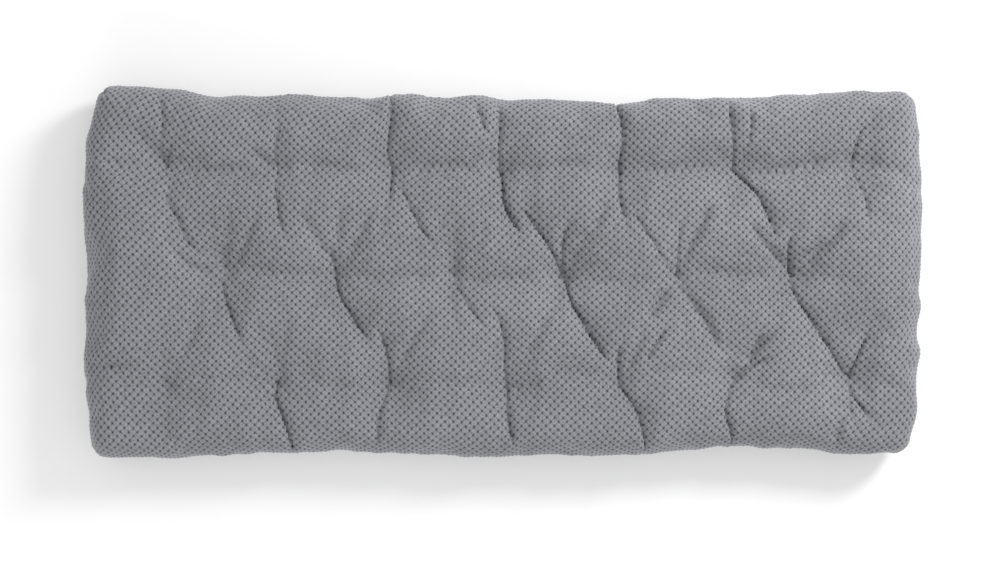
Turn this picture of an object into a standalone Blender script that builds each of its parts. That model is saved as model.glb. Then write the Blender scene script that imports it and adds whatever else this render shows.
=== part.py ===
"""Tufted bench cushion: two cloth panels sewn edge to edge, stuffed, and drawn down by tufts.

The cushion is one filled solid that lies on its back panel. X runs along its length, Y from the
front edge to the rear edge, and Z up from the surface that it lies on. The origin is at the
middle of the underside.
"""

import math
from collections import namedtuple

import bmesh
import bpy
from mathutils import Vector

# Driving dimensions, in metres
LENGTH = 1.026              # over the widest part of the two ends
WIDTH = 0.454               # over the widest part of the two long edges
THICKNESS = 0.078           # from the surface up to the crown between the tufts
SEAM_HEIGHT = 0.030         # of the edge seam above the surface
CORNER_RADIUS = 0.018       # of the turned corners

FACE_RIM = 0.052            # distance over which the face rolls down to the seam
FACE_RIM_POWER = 2.3        # 2 is an ellipse, and more is squarer
BACK_RIM = 0.040            # distance over which the back panel rolls up to the seam
BACK_RIM_POWER = 2.0

# The mesh: cells along and across the face. The back panel has half as many.
CELLS_LONG = 96
CELLS_WIDE = 40
RIM_CELLS = 6               # of those, the cells that close up towards each edge
RIM_BAND = 0.050            # width of that closer band

# Tufts
TUFT_REACH = 0.031          # distance at which a tuft's pull has dropped to about a third
ROW_TROUGH_DEPTH = 0.009    # soft valley between neighbouring tufts of a row
ROW_TROUGH_REACH = 0.019
BLEND_POWER = 3.0           # how sharply the deeper of two hollows wins over the other

Tuft = namedtuple("Tuft", "name x y pull")
TUFTS = [
    Tuft("A1", -0.408, 0.131, 0.031),
    Tuft("A2", -0.270, 0.127, 0.030),
    Tuft("A3", -0.133, 0.124, 0.030),
    Tuft("A4", 0.000, 0.123, 0.034),
    Tuft("A5", 0.142, 0.123, 0.031),
    Tuft("A6", 0.280, 0.123, 0.031),
    Tuft("A7", 0.427, 0.131, 0.024),
    Tuft("B1", -0.336, 0.001, 0.033),
    Tuft("B2", -0.201, -0.003, 0.034),
    Tuft("B3", -0.059, -0.006, 0.031),
    Tuft("B4", 0.075, -0.008, 0.037),
    Tuft("B5", 0.212, -0.006, 0.029),
    Tuft("B6", 0.350, -0.002, 0.035),
    Tuft("C1", -0.405, -0.139, 0.026),
    Tuft("C2", -0.270, -0.133, 0.033),
    Tuft("C3", -0.135, -0.137, 0.033),
    Tuft("C4", 0.005, -0.140, 0.032),
    Tuft("C5", 0.142, -0.133, 0.033),
    Tuft("C6", 0.279, -0.129, 0.033),
    Tuft("C7", 0.418, -0.129, 0.036),
]
TUFT_AT = {tuft.name: (tuft.x, tuft.y) for tuft in TUFTS}

# Folds: each runs from one point to another, which is a tuft's name or a place. bow is how far
# its middle stands to the left of the straight line. left and right are the reach of each bank.
Fold = namedtuple("Fold", "start end bow depth left right")
FOLDS = [
    # from the rear seam down to row A
    Fold("A1", (-0.411, 0.205), 0.002, 0.016, 0.016, 0.022),
    Fold("A2", (-0.269, 0.212), 0.004, 0.015, 0.016, 0.022),
    Fold("A3", (-0.133, 0.214), 0.002, 0.019, 0.016, 0.024),
    Fold("A4", (-0.002, 0.208), 0.002, 0.020, 0.016, 0.024),
    Fold("A5", (0.141, 0.203), -0.002, 0.019, 0.016, 0.024),
    Fold("A6", (0.275, 0.208), 0.001, 0.018, 0.016, 0.024),
    Fold("A7", (0.432, 0.205), 0.000, 0.009, 0.022, 0.026),
    # between rows A and B
    Fold("A1", "B1", 0.008, 0.016, 0.022, 0.016),
    Fold("A2", "B1", 0.002, 0.010, 0.016, 0.016),
    Fold("A2", "B2", 0.014, 0.014, 0.022, 0.016),
    Fold("A3", "B3", 0.004, 0.014, 0.022, 0.016),
    Fold("A4", "B4", 0.010, 0.022, 0.026, 0.016),
    Fold("A5", "B4", -0.004, 0.009, 0.020, 0.020),
    Fold("A5", "B5", 0.004, 0.013, 0.022, 0.016),
    Fold("A6", "B5", 0.000, 0.009, 0.016, 0.016),
    Fold("A6", "B6", -0.006, 0.018, 0.024, 0.016),
    Fold("A7", "B6", 0.000, 0.010, 0.024, 0.024),
    # between rows B and C
    Fold("B1", "C2", 0.006, 0.018, 0.024, 0.016),
    Fold("B2", "C3", 0.002, 0.021, 0.026, 0.016),
    Fold("B3", "C3", 0.003, 0.008, 0.016, 0.016),
    Fold("B3", "C4", -0.008, 0.015, 0.024, 0.016),
    Fold("B4", "C5", 0.003, 0.022, 0.026, 0.016),
    Fold("B5", "C5", -0.003, 0.010, 0.018, 0.018),
    Fold("B5", "C6", 0.002, 0.008, 0.016, 0.016),
    Fold("B6", "C6", -0.012, 0.013, 0.020, 0.020),
    Fold("B6", "C7", 0.002, 0.020, 0.024, 0.016),
    # from row C down to the front seam
    Fold("C2", (-0.253, -0.213), -0.006, 0.020, 0.024, 0.016),
    Fold("C3", (-0.152, -0.214), 0.002, 0.014, 0.022, 0.016),
    Fold("C4", (0.013, -0.214), 0.000, 0.016, 0.022, 0.016),
    Fold("C5", (0.171, -0.214), 0.004, 0.020, 0.024, 0.016),
    Fold("C6", (0.270, -0.207), -0.004, 0.018, 0.024, 0.016),
    Fold("C7", (0.400, -0.208), 0.006, 0.012, 0.020, 0.020),
    # out to the two ends
    Fold("C1", (-0.502, -0.098), 0.002, 0.010, 0.020, 0.020),
    Fold("B1", (-0.420, 0.016), 0.000, 0.008, 0.022, 0.022),
    Fold("A7", (0.503, 0.124), 0.000, 0.009, 0.022, 0.022),
    Fold("C7", (0.503, -0.146), 0.000, 0.009, 0.020, 0.020),
]

# The seam's path along each side, between corners that are still square. at is the place along
# the side, and out the distance from the cushion's middle. It runs in easy waves between rows.
EdgePoint = namedtuple("EdgePoint", "at out")
REAR_EDGE = [
    EdgePoint(-0.513, 0.226), EdgePoint(-0.470, 0.227), EdgePoint(-0.410, 0.222),
    EdgePoint(-0.364, 0.215), EdgePoint(-0.270, 0.217), EdgePoint(-0.179, 0.212),
    EdgePoint(-0.136, 0.218), EdgePoint(-0.093, 0.213), EdgePoint(-0.044, 0.216),
    EdgePoint(-0.002, 0.211), EdgePoint(0.071, 0.210), EdgePoint(0.136, 0.205),
    EdgePoint(0.218, 0.212), EdgePoint(0.284, 0.213), EdgePoint(0.364, 0.217),
    EdgePoint(0.425, 0.220), EdgePoint(0.513, 0.218),
]
FRONT_EDGE = [
    EdgePoint(-0.513, 0.226), EdgePoint(-0.410, 0.227), EdgePoint(-0.319, 0.223),
    EdgePoint(-0.252, 0.220), EdgePoint(-0.197, 0.217), EdgePoint(-0.154, 0.221),
    EdgePoint(-0.075, 0.224), EdgePoint(-0.002, 0.227), EdgePoint(0.035, 0.223),
    EdgePoint(0.120, 0.225), EdgePoint(0.171, 0.223), EdgePoint(0.230, 0.218),
    EdgePoint(0.276, 0.213), EdgePoint(0.364, 0.216), EdgePoint(0.443, 0.222),
    EdgePoint(0.513, 0.221),
]
LEFT_EDGE = [
    EdgePoint(-0.227, 0.498), EdgePoint(-0.180, 0.502), EdgePoint(-0.144, 0.507),
    EdgePoint(-0.107, 0.511), EdgePoint(-0.081, 0.507), EdgePoint(-0.034, 0.510),
    EdgePoint(0.017, 0.507), EdgePoint(0.075, 0.513), EdgePoint(0.149, 0.506),
    EdgePoint(0.227, 0.490),
]
RIGHT_EDGE = [
    EdgePoint(-0.227, 0.495), EdgePoint(-0.168, 0.504), EdgePoint(-0.125, 0.505),
    EdgePoint(-0.098, 0.509), EdgePoint(-0.081, 0.506), EdgePoint(-0.034, 0.511),
    EdgePoint(0.039, 0.512), EdgePoint(0.082, 0.513), EdgePoint(0.131, 0.509),
    EdgePoint(0.227, 0.502),
]

CLOTH_COLOUR = (0.235, 0.240, 0.262, 1.0)
CLOTH_ROUGHNESS = 0.9
FOLD_STEPS = 8              # straight pieces that stand for a fold's curve


def clear_scene():
    """Removes whatever the scene held."""
    for obj in list(bpy.data.objects):
        bpy.data.objects.remove(obj, do_unlink=True)


def edge_out(rows, at):
    """Distance of the seam from the cushion's middle at a place along one side."""
    if at <= rows[0].at:
        return rows[0].out
    for low, high in zip(rows, rows[1:]):
        if at <= high.at:
            share = (at - low.at) / (high.at - low.at)
            ease = share * share * (3 - 2 * share)
            return low.out + (high.out - low.out) * ease
    return rows[-1].out


def stations(size, cells):
    """Distances of the mesh lines from the low edge of a side, closer together near both edges."""
    rim = [
        RIM_BAND * (1 - math.cos(math.pi / 2 * step / RIM_CELLS)) for step in range(RIM_CELLS)
    ]
    inner_cells = cells - 2 * RIM_CELLS
    inner = [
        RIM_BAND + (size - 2 * RIM_BAND) * step / inner_cells for step in range(inner_cells + 1)
    ]
    return rim + inner + [size - place for place in reversed(rim)]


def seam_plan(along, across):
    """Point in plan, and distance in from the seam, of a mesh line crossing.

    along and across are distances from the low edges of a straight rectangle. The rectangle is
    bent to the uneven seam, and its corners are turned to arcs.
    """
    x = along - LENGTH / 2
    y = across - WIDTH / 2
    inset = min(along, LENGTH - along, across, WIDTH - across)

    corner_x = abs(x) - (LENGTH / 2 - CORNER_RADIUS)
    corner_y = abs(y) - (WIDTH / 2 - CORNER_RADIUS)
    if corner_x > 0 and corner_y > 0:
        pull_in = max(corner_x, corner_y) / math.hypot(corner_x, corner_y)
        x = math.copysign(LENGTH / 2 - CORNER_RADIUS + corner_x * pull_in, x)
        y = math.copysign(WIDTH / 2 - CORNER_RADIUS + corner_y * pull_in, y)

    left, right = edge_out(LEFT_EDGE, y), edge_out(RIGHT_EDGE, y)
    front, rear = edge_out(FRONT_EDGE, x), edge_out(REAR_EDGE, x)
    share_x = x / LENGTH + 0.5
    share_y = y / WIDTH + 0.5
    return share_x * (left + right) - left, share_y * (front + rear) - front, inset


def rise(inset, rim, power):
    """Share of the full height that a panel has reached at a distance in from the seam."""
    share = min(inset / rim, 1.0)
    return (1 - (1 - share) ** power) ** (1 / power)


def place(anchor):
    """A tuft's name or a pair of numbers, as a point in plan."""
    return Vector(TUFT_AT.get(anchor, anchor)) if isinstance(anchor, str) else Vector(anchor)


def fold_line(fold):
    """The points of a fold's bowed line."""
    start, end = place(fold.start), place(fold.end)
    side = Vector((start.y - end.y, end.x - start.x)).normalized()
    points = []
    for step in range(FOLD_STEPS + 1):
        share = step / FOLD_STEPS
        points.append(start.lerp(end, share) + side * fold.bow * math.sin(math.pi * share))
    return points


def hollow_of_line(point, line, depth, left, right):
    """Depth of a trough at a point, from its nearest place on the trough's line."""
    nearest, side = math.inf, 1.0
    for start, end in zip(line, line[1:]):
        run = end - start
        share = max(0.0, min(1.0, (point - start).dot(run) / run.length_squared))
        offset = point - start.lerp(end, share)
        if offset.length < nearest:
            nearest = offset.length
            side = run.x * offset.y - run.y * offset.x
    reach = left if side > 0 else right
    return depth * math.exp(-((nearest / reach) ** 1.5))


def troughs():
    """(line, depth, left reach, right reach) of each fold and of each soft valley along a row."""
    found = [(fold_line(fold), fold.depth, fold.left, fold.right) for fold in FOLDS]
    for first, second in zip(TUFTS, TUFTS[1:]):
        if first.name[0] == second.name[0]:
            line = [Vector((first.x, first.y)), Vector((second.x, second.y))]
            found.append((line, ROW_TROUGH_DEPTH, ROW_TROUGH_REACH, ROW_TROUGH_REACH))
    return found


def drawn_down(point, lines):
    """How far the tufts and folds draw the face down at a point in plan."""
    total = 0.0
    for tuft in TUFTS:
        away = (point - Vector((tuft.x, tuft.y))).length
        total += (tuft.pull * math.exp(-away / TUFT_REACH)) ** BLEND_POWER
    for line, depth, left, right in lines:
        total += hollow_of_line(point, line, depth, left, right) ** BLEND_POWER
    return total ** (1 / BLEND_POWER)


def make_face(mesh, columns, rows):
    """The face panel's points as a grid, and its cells."""
    lines = troughs()
    crown = THICKNESS - SEAM_HEIGHT
    grid = []
    for along in columns:
        line = []
        for across in rows:
            x, y, inset = seam_plan(along, across)
            share = rise(inset, FACE_RIM, FACE_RIM_POWER)
            down = drawn_down(Vector((x, y)), lines)
            line.append(mesh.verts.new((x, y, SEAM_HEIGHT + (crown - down) * share)))
        grid.append(line)
    for i in range(CELLS_LONG):
        for j in range(CELLS_WIDE):
            mesh.faces.new((grid[i][j], grid[i + 1][j], grid[i + 1][j + 1], grid[i][j + 1]))
    return grid


def make_back(mesh, columns, rows, face):
    """The back panel, flat where it lies, with every second mesh line of the face."""
    def on_seam(i, j):
        return i in (0, CELLS_LONG) or j in (0, CELLS_WIDE)

    grid = {}
    for i in range(0, CELLS_LONG + 1, 2):
        for j in range(0, CELLS_WIDE + 1, 2):
            if on_seam(i, j):
                grid[i, j] = face[i][j]
                continue
            x, y, inset = seam_plan(columns[i], rows[j])
            height = SEAM_HEIGHT * (1 - rise(inset, BACK_RIM, BACK_RIM_POWER))
            grid[i, j] = mesh.verts.new((x, y, height))

    for i in range(0, CELLS_LONG, 2):
        for j in range(0, CELLS_WIDE, 2):
            # Corners and mid-sides in turn: a mid-side point counts only where it is on the seam.
            ring = [(i, j), (i, j + 1), (i, j + 2), (i + 1, j + 2), (i + 2, j + 2),
                    (i + 2, j + 1), (i + 2, j), (i + 1, j)]
            corners = [grid[spot] if spot in grid else face[spot[0]][spot[1]]
                       for spot in ring if spot in grid or on_seam(*spot)]
            mesh.faces.new(corners)


def make_cloth_material():
    """Grey plush cloth."""
    material = bpy.data.materials.new("grey_plush")
    material.use_nodes = True
    shader = material.node_tree.nodes["Principled BSDF"]
    shader.inputs["Base Color"].default_value = CLOTH_COLOUR
    shader.inputs["Roughness"].default_value = CLOTH_ROUGHNESS
    shader.inputs["Metallic"].default_value = 0.0
    return material


def make_cushion():
    """The whole filled cushion as one closed solid."""
    columns = stations(LENGTH, CELLS_LONG)
    rows = stations(WIDTH, CELLS_WIDE)
    mesh = bmesh.new()
    face = make_face(mesh, columns, rows)
    make_back(mesh, columns, rows, face)
    bmesh.ops.recalc_face_normals(mesh, faces=mesh.faces)

    data = bpy.data.meshes.new("cushion")
    mesh.to_mesh(data)
    mesh.free()
    data.shade_smooth()
    data.materials.append(make_cloth_material())
    cushion = bpy.data.objects.new("cushion", data)
    bpy.context.scene.collection.objects.link(cushion)
    return cushion


clear_scene()
make_cushion()
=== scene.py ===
"""Tufted bench cushion in grey dimpled plush.

Two panels of one cloth are sewn edge to edge, turned and stuffed, and tack stitches draw the
face down to the back at twenty places. Each panel is made as a grid in the cloth's own
directions, so that the dimples of the plush follow the cloth over every fold. The face settles
in a cloth simulation under the stuffing's pressure before its dimples are raised.
"""

import math
from collections import namedtuple

import bpy
import numpy as np
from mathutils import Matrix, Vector


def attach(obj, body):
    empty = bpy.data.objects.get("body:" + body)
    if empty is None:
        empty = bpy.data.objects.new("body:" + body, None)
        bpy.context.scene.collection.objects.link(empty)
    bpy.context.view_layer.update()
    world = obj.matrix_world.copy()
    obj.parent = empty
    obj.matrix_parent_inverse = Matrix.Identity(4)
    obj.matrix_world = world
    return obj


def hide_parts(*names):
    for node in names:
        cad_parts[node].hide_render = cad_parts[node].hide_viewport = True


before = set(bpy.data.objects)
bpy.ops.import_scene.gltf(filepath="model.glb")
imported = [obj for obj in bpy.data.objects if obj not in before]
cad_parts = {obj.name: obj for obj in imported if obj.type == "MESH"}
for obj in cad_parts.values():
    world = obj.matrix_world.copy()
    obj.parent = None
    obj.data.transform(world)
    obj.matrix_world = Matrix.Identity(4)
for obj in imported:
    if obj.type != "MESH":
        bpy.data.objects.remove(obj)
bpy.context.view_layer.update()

# Driving sizes of the cushion, in metres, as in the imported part
LENGTH = 1.026
WIDTH = 0.454
THICKNESS = 0.078           # from the surface up to the crown between the tufts
SEAM_HEIGHT = 0.030
CORNER_RADIUS = 0.018

# The plush: raised pads stand between pits, which repeat at this distance both ways
PITCH = 0.0099
PAD_RISE = 0.0007
PIT_DROP = 0.0013

# The cut size of each panel, from seam to seam
CUT_LONG = 110 * PITCH
CUT_WIDE = 52 * PITCH
COARSE_STEP = PITCH / 2     # the grid that settles
FINE_STEP = PITCH / 4       # the grid that carries the pads and pits

# Rolled rims: plan depth, height and roundness, where 2 is an ellipse and more is squarer
Rim = namedtuple("Rim", "depth height power")
FACE_RIM = Rim(0.026, THICKNESS - SEAM_HEIGHT, 2.4)
BACK_RIM = Rim(0.040, SEAM_HEIGHT, 2.0)
RIM_STEPS = 400

PATH_STEPS = 6              # points of the curve between two points of a path
TINY = 1e-12                # keeps a division from being by 0

# The sewing draws the cloth in beside the seam: before it settles, and again after
SEAM_TUCK = 0.0030
SEAM_TUCK_REACH = 0.0035
SEAM_PULL = 0.0022
SEAM_PULL_REACH = 0.0045

# Tufts, and how far each pulls the face down
Tuft = namedtuple("Tuft", "name x y pull")
TUFTS = [
    Tuft("A1", -0.408, 0.131, 0.0188),
    Tuft("A2", -0.270, 0.127, 0.0140),
    Tuft("A3", -0.133, 0.124, 0.0161),
    Tuft("A4", 0.000, 0.123, 0.0171),
    Tuft("A5", 0.142, 0.123, 0.0149),
    Tuft("A6", 0.280, 0.123, 0.0146),
    Tuft("A7", 0.427, 0.131, 0.0169),
    Tuft("B1", -0.336, 0.001, 0.0165),
    Tuft("B2", -0.201, -0.003, 0.0172),
    Tuft("B3", -0.059, -0.006, 0.0089),
    Tuft("B4", 0.075, -0.008, 0.0260),
    Tuft("B5", 0.212, -0.006, 0.0208),
    Tuft("B6", 0.350, -0.002, 0.0222),
    Tuft("C1", -0.405, -0.139, 0.0182),
    Tuft("C2", -0.270, -0.133, 0.0164),
    Tuft("C3", -0.135, -0.137, 0.0183),
    Tuft("C4", 0.005, -0.140, 0.0169),
    Tuft("C5", 0.142, -0.133, 0.0070),
    Tuft("C6", 0.279, -0.129, 0.0162),
    Tuft("C7", 0.418, -0.129, 0.0234),
]
TUFT_REACH = 0.017
TUFT_CORE = 0.007           # rounds the bottom of a tuft's hollow
TUFT_HOLD = 0.0065          # the cloth within this distance of a tuft is held fast
BACK_PULL = 0.009           # how far each tuft draws the back panel up
BACK_REACH = 0.010
ROW_VALLEY = {"A": 0.006, "B": 0.006, "C": 0.001}   # soft valley between the tufts of each row
ROW_VALLEY_REACH = 0.022
BLEND = 3.0                 # how sharply the deeper of two hollows wins

# Folds, each from the rear to the front or from one side to the other. right is the reach of
# the bank towards +X, or the rear on a level fold, and left is that of the other bank. start and
# end are the shares of the length over which a fold dies away.
Fold = namedtuple("Fold", "name depth right left start end path")
FOLDS = [
    Fold("rear to A1", 0.0037, 0.020, 0.008, 0.1, 0,
         ((-0.414, 0.216), (-0.409, 0.195), (-0.408, 0.173), (-0.411, 0.151), (-0.407, 0.129))),
    Fold("rear to A2", 0.0024, 0.016, 0.009, 0.05, 0.3,
         ((-0.265, 0.216), (-0.271, 0.201), (-0.276, 0.181))),
    Fold("over A2", 0.0044, 0.018, 0.009, 0.3, 0,
         ((-0.268, 0.185), (-0.270, 0.163), (-0.273, 0.142), (-0.270, 0.122))),
    Fold("A2 down", 0.0051, 0.016, 0.009, 0, 0.4,
         ((-0.270, 0.122), (-0.273, 0.105), (-0.270, 0.084), (-0.267, 0.062), (-0.258, 0.035))),
    Fold("rear to A3", 0.0065, 0.018, 0.007, 0.03, 0,
         ((-0.135, 0.217), (-0.132, 0.192), (-0.135, 0.166), (-0.136, 0.143), (-0.132, 0.121))),
    Fold("A3 down", 0.0070, 0.014, 0.008, 0, 0.5,
         ((-0.132, 0.121), (-0.134, 0.100), (-0.135, 0.081))),
    Fold("rear to A4", 0.0053, 0.018, 0.007, 0.2, 0,
         ((-0.004, 0.212), (-0.002, 0.172), (-0.003, 0.149), (-0.001, 0.122))),
    Fold("A4 crescent", 0.0097, 0.012, 0.007, 0, 0.25,
         ((-0.001, 0.122), (0.001, 0.104), (0.003, 0.085), (0.010, 0.067), (0.025, 0.043))),
    Fold("short by A4", 0.0056, 0.012, 0.008, 0.1, 0.4,
         ((-0.032, 0.206), (-0.024, 0.183), (-0.014, 0.152))),
    Fold("A4 to B4", 0.0084, 0.020, 0.007, 0.3, 0,
         ((0.020, 0.084), (0.036, 0.062), (0.052, 0.039), (0.065, 0.017), (0.075, -0.007))),
    Fold("B4 to C5", 0.0096, 0.020, 0.007, 0.1, 0.2,
         ((0.075, -0.007), (0.085, -0.038), (0.101, -0.063), (0.115, -0.088), (0.130, -0.112))),
    Fold("rear to A5", 0.0088, 0.018, 0.007, 0.1, 0,
         ((0.138, 0.209), (0.146, 0.176), (0.147, 0.155), (0.143, 0.134), (0.143, 0.118))),
    Fold("A5 down", 0.0067, 0.014, 0.008, 0, 0.4,
         ((0.143, 0.118), (0.142, 0.098), (0.145, 0.076), (0.151, 0.054))),
    Fold("A5 to B5", 0.0052, 0.016, 0.009, 0.35, 0.3,
         ((0.154, 0.084), (0.165, 0.062), (0.181, 0.039), (0.196, 0.015), (0.210, -0.005))),
    Fold("rear to A6", 0.0066, 0.018, 0.007, 0.2, 0,
         ((0.274, 0.212), (0.276, 0.190), (0.278, 0.173), (0.280, 0.149), (0.280, 0.122))),
    Fold("A6 to B6", 0.0081, 0.016, 0.007, 0, 0.3,
         ((0.280, 0.122), (0.297, 0.105), (0.312, 0.088), (0.321, 0.070), (0.330, 0.046),
          (0.337, 0.030))),
    Fold("B6 to C7", 0.0079, 0.018, 0.007, 0.1, 0.1,
         ((0.347, -0.002), (0.354, -0.028), (0.368, -0.050), (0.385, -0.076), (0.403, -0.104),
          (0.418, -0.129))),
    Fold("A1 to B1", 0.0049, 0.016, 0.009, 0.15, 0.25,
         ((-0.412, 0.100), (-0.398, 0.078), (-0.387, 0.059), (-0.379, 0.039), (-0.364, 0.021),
          (-0.351, 0.007))),
    Fold("B1 to C2", 0.0060, 0.018, 0.008, 0.1, 0.3,
         ((-0.339, -0.005), (-0.332, -0.034), (-0.324, -0.056), (-0.315, -0.077), (-0.307, -0.095))),
    Fold("C2 to front", 0.0084, 0.016, 0.007, 0.05, 0.05,
         ((-0.269, -0.129), (-0.273, -0.149), (-0.269, -0.161), (-0.262, -0.178), (-0.256, -0.196),
          (-0.251, -0.216))),
    Fold("B2 to C3", 0.0076, 0.018, 0.007, 0.1, 0.25,
         ((-0.202, 0.000), (-0.195, -0.028), (-0.182, -0.049), (-0.171, -0.068), (-0.157, -0.089))),
    Fold("on to C3", 0.0069, 0.016, 0.008, 0.35, 0,
         ((-0.153, -0.061), (-0.142, -0.083), (-0.137, -0.102), (-0.135, -0.122), (-0.135, -0.135))),
    Fold("C3 to front", 0.0063, 0.014, 0.009, 0, 0.2,
         ((-0.135, -0.135), (-0.141, -0.154), (-0.147, -0.173), (-0.149, -0.195), (-0.151, -0.213))),
    Fold("A3 to B3", 0.0048, 0.016, 0.008, 0.2, 0.25,
         ((-0.126, 0.112), (-0.112, 0.082), (-0.102, 0.061), (-0.091, 0.044), (-0.075, 0.020))),
    Fold("B3 to C4", 0.0042, 0.016, 0.009, 0.1, 0.35,
         ((-0.058, -0.010), (-0.047, -0.029), (-0.038, -0.043), (-0.029, -0.056), (-0.016, -0.073))),
    Fold("C4 long", 0.0060, 0.016, 0.008, 0.35, 0,
         ((-0.021, -0.030), (-0.009, -0.046), (-0.001, -0.063), (0.004, -0.085), (0.004, -0.110),
          (0.007, -0.142))),
    Fold("C4 to front", 0.0071, 0.016, 0.008, 0, 0.15,
         ((0.007, -0.142), (0.007, -0.161), (0.009, -0.181), (0.015, -0.210))),
    Fold("C5 over", 0.0072, 0.016, 0.009, 0.4, 0,
         ((0.142, -0.083), (0.141, -0.110), (0.142, -0.137))),
    Fold("C5 to front", 0.0074, 0.018, 0.007, 0, 0.05,
         ((0.141, -0.135), (0.152, -0.151), (0.164, -0.168), (0.170, -0.188), (0.174, -0.215))),
    Fold("under B5", 0.0059, 0.012, 0.010, 0.3, 0.3,
         ((0.201, -0.059), (0.190, -0.081), (0.181, -0.095), (0.170, -0.115))),
    Fold("C6 ray", 0.0056, 0.012, 0.012, 0.3, 0,
         ((0.328, -0.100), (0.309, -0.110), (0.293, -0.120), (0.280, -0.131))),
    Fold("C6 to front", 0.0069, 0.016, 0.008, 0, 0.1,
         ((0.280, -0.131), (0.274, -0.150), (0.270, -0.166), (0.273, -0.181), (0.278, -0.198),
          (0.278, -0.215))),
    Fold("C7 aside", 0.0077, 0.016, 0.009, 0.1, 0.4,
         ((0.417, -0.133), (0.425, -0.151), (0.437, -0.168), (0.445, -0.185))),
    Fold("over A7", 0.0078, 0.034, 0.010, 0.5, 0,
         ((0.442, 0.185), (0.429, 0.154), (0.423, 0.127))),
    Fold("A7 down", 0.0060, 0.024, 0.008, 0, 0.6,
         ((0.423, 0.127), (0.432, 0.104), (0.439, 0.081), (0.440, 0.044))),
    Fold("C7 under", 0.0050, 0.016, 0.008, 0, 0.5,
         ((0.418, -0.137), (0.420, -0.161), (0.423, -0.193))),
    Fold("by A6", 0.0050, 0.016, 0.008, 0.3, 0.3,
         ((0.297, 0.203), (0.301, 0.181), (0.296, 0.149))),
    Fold("C7 up", 0.0100, 0.028, 0.009, 0.6, 0,
         ((0.447, -0.061), (0.435, -0.090), (0.420, -0.127))),
    Fold("B6 up", 0.0110, 0.026, 0.008, 0.6, 0,
         ((0.350, 0.056), (0.347, 0.027), (0.350, -0.005))),
    Fold("by A1 tuft", 0.0050, 0.028, 0.010, 0.6, 0,
         ((-0.392, 0.166), (-0.400, 0.146), (-0.406, 0.124))),
    Fold("B4 up", 0.0080, 0.020, 0.008, 0.5, 0,
         ((0.086, 0.068), (0.075, 0.039), (0.074, -0.005))),
    Fold("C6 high ray", 0.0037, 0.012, 0.012, 0.5, 0,
         ((0.345, -0.046), (0.329, -0.073), (0.306, -0.100), (0.284, -0.127))),
    Fold("B2 up", 0.0060, 0.016, 0.009, 0.5, 0,
         ((-0.203, 0.039), (-0.204, 0.017), (-0.199, -0.005))),
    Fold("B5 up", 0.0060, 0.012, 0.010, 0.5, 0,
         ((0.215, 0.066), (0.214, 0.032), (0.212, -0.005))),
]

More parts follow.
